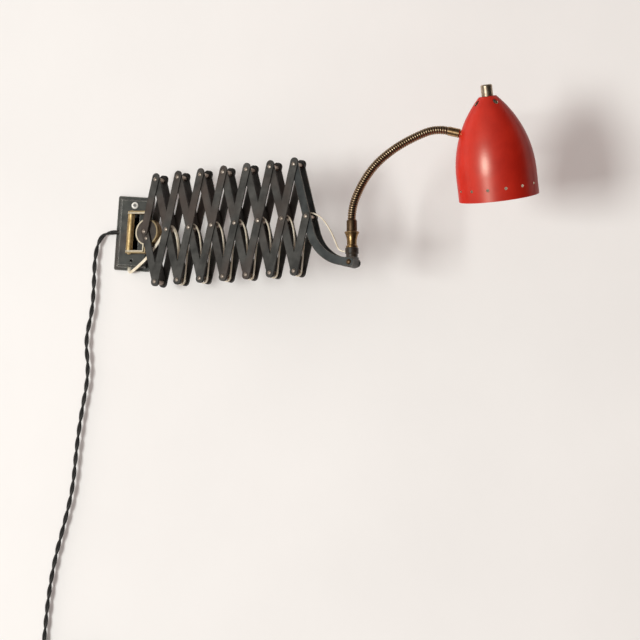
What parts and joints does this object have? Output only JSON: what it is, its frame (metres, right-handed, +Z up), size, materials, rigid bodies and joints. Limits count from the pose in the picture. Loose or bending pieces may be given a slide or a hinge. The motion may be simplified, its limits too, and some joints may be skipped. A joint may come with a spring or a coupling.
{
  "type": "scissor wall lamp",
  "caption": "Wall lamp with a hinged plate, an extending riveted lattice arm, a ribbed bending neck, a domed metal shade with a switch knob, and a fabric cord with a plug.",
  "frame": {"origin": "centre of the wall plate's back face", "axes": "+Y into the wall, +Z up, +X to the right as seen by someone facing the wall"},
  "size_m": [0.7408, 0.2961, 1.0842],
  "materials": {
    "plate_paint": "worn satin paint, pale at the edges",
    "bar_paint": "worn charcoal paint",
    "dark_steel": "darkened steel",
    "bright_brass": "rubbed",
    "worn_brass": "dulled, bright edges",
    "aged_brass": "aged",
    "copper_rivet": "brown patina",
    "red_enamel": "gloss enamel",
    "nickel": "polished nickel",
    "bakelite": "gloss",
    "bulb_glass": "frosted",
    "ceramic": "matt",
    "ivory_flex": "smooth",
    "cord_fabric": "woven",
    "plug_plastic": "gloss"
  },
  "bodies": {
    "wall_unit": {"back_plate": "plate_paint", "cover": "plate_paint", "hinge_barrel": "bright_brass", "terminal_block": "ceramic", "cord_bush": "bakelite", "mains_cord": "cord_fabric", "cord_coil": "cord_fabric", "coil_tie": "cord_fabric", "plug_body": "plug_plastic", "plug_pins": "bright_brass"},
    "swivel_fork": {"hinge_pin": "bright_brass", "strap_inner": "worn_brass", "strap_outer": "worn_brass"},
    "arm_pivot": {"pivot_pin": "copper_rivet", "lamp_flex": "ivory_flex"},
    "lower_half": {"lower_half_bars": "bar_paint", "drum": "dark_steel", "lower_pins": "copper_rivet"},
    "upper_half": {"upper_half_bars": "bar_paint"},
    "rising_1": {"rising_bars_1": "bar_paint"},
    "falling_1": {"falling_bars_1": "bar_paint", "pivot_pins_1": "copper_rivet"},
    "rising_2": {"rising_bars_2": "bar_paint"},
    "falling_2": {"falling_bars_2": "bar_paint", "pivot_pins_2": "copper_rivet"},
    "rising_3": {"rising_bars_3": "bar_paint"},
    "falling_3": {"falling_bars_3": "bar_paint", "pivot_pins_3": "copper_rivet"},
    "rising_4": {"rising_bars_4": "bar_paint"},
    "falling_4": {"falling_bars_4": "bar_paint", "pivot_pins_4": "copper_rivet"},
    "rising_5": {"rising_bars_5": "bar_paint"},
    "falling_5": {"falling_bars_5": "bar_paint", "pivot_pins_5": "copper_rivet"},
    "rising_6": {"rising_bars_6": "bar_paint"},
    "falling_6": {"falling_bars_6": "bar_paint", "pivot_pins_6": "copper_rivet"},
    "end_half": {"end_half_bars": "bar_paint"},
    "curved_arm": {"curved_arms": "bar_paint", "arm_pins": "copper_rivet", "knuckle_bolt": "copper_rivet"},
    "knuckle_stem": {"knuckle": "dark_steel", "collar": "dark_steel", "neck_spool": "bright_brass", "lower_ferrule": "aged_brass", "gooseneck_1": "aged_brass"},
    "neck_2": {"gooseneck_2": "aged_brass"},
    "neck_3": {"gooseneck_3": "aged_brass"},
    "neck_4": {"gooseneck_4": "aged_brass"},
    "neck_5": {"gooseneck_5": "aged_brass"},
    "neck_6": {"gooseneck_6": "aged_brass", "upper_ferrule": "aged_brass", "shade_nut": "bright_brass"},
    "shade_unit": {"shade": "red_enamel", "lampholder": "bakelite", "bulb": "bulb_glass"},
    "knob": {"switch_knob": "nickel"}
  },
  "joints": [
    {"name": "swivel", "type": "hinge", "parent": "wall_unit", "child": "swivel_fork", "pos_m": [-0.0035, -0.022, 0], "axis": [0, 0, -1], "range_deg": [-13, 134], "deforming": ["lamp_flex"]},
    {"name": "arm_tilt", "type": "hinge", "parent": "swivel_fork", "child": "arm_pivot", "pos_m": [0.02808, -0.03929, 0], "axis": [-0.4802, -0.8771, 0], "range_deg": [-12, 10], "deforming": ["lamp_flex"]},
    {"name": "scissor_extend", "type": "hinge", "parent": "arm_pivot", "child": "lower_half", "pos_m": [0.02808, -0.03929, 0], "axis": [-0.4802, -0.8771, 0], "range_deg": [-5, 43.5], "deforming": ["lamp_flex"]},
    {"name": "upper_half_turn", "type": "hinge", "parent": "arm_pivot", "child": "upper_half", "pos_m": [0.02808, -0.03929, 0], "axis": [0.4802, 0.8771, 0], "range_deg": [-5, 43.5]},
    {"name": "rising_1_turn", "type": "hinge", "parent": "lower_half", "child": "rising_1", "pos_m": [0.0521, -0.05244, -0.08047], "axis": [0.4802, 0.8771, 0], "range_deg": [-10, 87]},
    {"name": "falling_1_turn", "type": "hinge", "parent": "rising_1", "child": "falling_1", "pos_m": [0.06531, -0.05967, 0.00319], "axis": [0.4802, 0.8771, 0], "range_deg": [-87, 10]},
    {"name": "rising_2_turn", "type": "hinge", "parent": "falling_1", "child": "rising_2", "pos_m": [0.08933, -0.07283, -0.07727], "axis": [0.4802, 0.8771, 0], "range_deg": [-10, 87]},
    {"name": "falling_2_turn", "type": "hinge", "parent": "rising_2", "child": "falling_2", "pos_m": [0.10254, -0.08005, 0.00638], "axis": [0.4802, 0.8771, 0], "range_deg": [-87, 10]},
    {"name": "rising_3_turn", "type": "hinge", "parent": "falling_2", "child": "rising_3", "pos_m": [0.12657, -0.09321, -0.07408], "axis": [0.4802, 0.8771, 0], "range_deg": [-10, 87]},
    {"name": "falling_3_turn", "type": "hinge", "parent": "rising_3", "child": "falling_3", "pos_m": [0.13977, -0.10044, 0.00957], "axis": [0.4802, 0.8771, 0], "range_deg": [-87, 10]},
    {"name": "rising_4_turn", "type": "hinge", "parent": "falling_3", "child": "rising_4", "pos_m": [0.1638, -0.11359, -0.07089], "axis": [0.4802, 0.8771, 0], "range_deg": [-10, 87]},
    {"name": "falling_4_turn", "type": "hinge", "parent": "rising_4", "child": "falling_4", "pos_m": [0.177, -0.12082, 0.01277], "axis": [0.4802, 0.8771, 0], "range_deg": [-87, 10]},
    {"name": "rising_5_turn", "type": "hinge", "parent": "falling_4", "child": "rising_5", "pos_m": [0.20103, -0.13397, -0.0677], "axis": [0.4802, 0.8771, 0], "range_deg": [-10, 87]},
    {"name": "falling_5_turn", "type": "hinge", "parent": "rising_5", "child": "falling_5", "pos_m": [0.21423, -0.1412, 0.01596], "axis": [0.4802, 0.8771, 0], "range_deg": [-87, 10]},
    {"name": "rising_6_turn", "type": "hinge", "parent": "falling_5", "child": "rising_6", "pos_m": [0.23826, -0.15436, -0.06451], "axis": [0.4802, 0.8771, 0], "range_deg": [-10, 87]},
    {"name": "falling_6_turn", "type": "hinge", "parent": "rising_6", "child": "falling_6", "pos_m": [0.25146, -0.16159, 0.01915], "axis": [0.4802, 0.8771, 0], "range_deg": [-87, 10]},
    {"name": "end_half_turn", "type": "hinge", "parent": "falling_6", "child": "end_half", "pos_m": [0.27549, -0.17474, -0.06132], "axis": [0.4802, 0.8771, 0], "range_deg": [-10, 87]},
    {"name": "curved_arm_turn", "type": "hinge", "parent": "end_half", "child": "curved_arm", "pos_m": [0.28869, -0.18197, 0.02234], "axis": [0.4802, 0.8771, 0], "range_deg": [-87, 10]},
    {"name": "knuckle_tilt", "type": "hinge", "parent": "curved_arm", "child": "knuckle_stem", "pos_m": [0.35661, -0.21915, -0.04655], "axis": [0.4802, 0.8771, 0], "range_deg": [-20, 60], "deforming": ["lamp_flex"]},
    {"name": "neck_bend", "type": "hinge", "parent": "knuckle_stem", "child": "neck_2", "pos_m": [0.35688, -0.21661, 0.05326], "axis": [0.1521, 0.988, -0.0256], "range_deg": [-6, 8]},
    {"name": "neck_3_bend", "type": "hinge", "parent": "neck_2", "child": "neck_3", "pos_m": [0.37166, -0.21803, 0.08598], "axis": [0.1521, 0.988, -0.0256], "range_deg": [-6, 8]},
    {"name": "neck_4_bend", "type": "hinge", "parent": "neck_3", "child": "neck_4", "pos_m": [0.39373, -0.2207, 0.11415], "axis": [0.1521, 0.988, -0.0256], "range_deg": [-6, 8]},
    {"name": "neck_5_bend", "type": "hinge", "parent": "neck_4", "child": "neck_5", "pos_m": [0.4217, -0.22443, 0.13642], "axis": [0.1521, 0.988, -0.0256], "range_deg": [-6, 8]},
    {"name": "neck_6_bend", "type": "hinge", "parent": "neck_5", "child": "neck_6", "pos_m": [0.45298, -0.22879, 0.15362], "axis": [0.1521, 0.988, -0.0256], "range_deg": [-6, 8]},
    {"name": "shade_turn", "type": "hinge", "parent": "neck_6", "child": "shade_unit", "pos_m": [0.48776, -0.23404, 0.15797], "axis": [0.9712, -0.1542, -0.1815], "range_deg": [-60, 60]},
    {"name": "switch_turn", "type": "hinge", "parent": "shade_unit", "child": "knob", "pos_m": [0.54134, -0.25942, 0.20855], "axis": [-0.1892, -0.2262, 0.9555], "continuous": true}
  ],
  "couplings": [
    {"joint": "upper_half_turn", "follows": "scissor_extend", "ratio": 1},
    {"joint": "rising_1_turn", "follows": "scissor_extend", "ratio": 2},
    {"joint": "falling_1_turn", "follows": "scissor_extend", "ratio": -2},
    {"joint": "rising_2_turn", "follows": "scissor_extend", "ratio": 2},
    {"joint": "falling_2_turn", "follows": "scissor_extend", "ratio": -2},
    {"joint": "rising_3_turn", "follows": "scissor_extend", "ratio": 2},
    {"joint": "falling_3_turn", "follows": "scissor_extend", "ratio": -2},
    {"joint": "rising_4_turn", "follows": "scissor_extend", "ratio": 2},
    {"joint": "falling_4_turn", "follows": "scissor_extend", "ratio": -2},
    {"joint": "rising_5_turn", "follows": "scissor_extend", "ratio": 2},
    {"joint": "falling_5_turn", "follows": "scissor_extend", "ratio": -2},
    {"joint": "rising_6_turn", "follows": "scissor_extend", "ratio": 2},
    {"joint": "falling_6_turn", "follows": "scissor_extend", "ratio": -2},
    {"joint": "end_half_turn", "follows": "scissor_extend", "ratio": 2},
    {"joint": "curved_arm_turn", "follows": "scissor_extend", "ratio": -2},
    {"joint": "neck_3_bend", "follows": "neck_bend", "ratio": 1},
    {"joint": "neck_4_bend", "follows": "neck_bend", "ratio": 1},
    {"joint": "neck_5_bend", "follows": "neck_bend", "ratio": 1},
    {"joint": "neck_6_bend", "follows": "neck_bend", "ratio": 1}
  ]
}
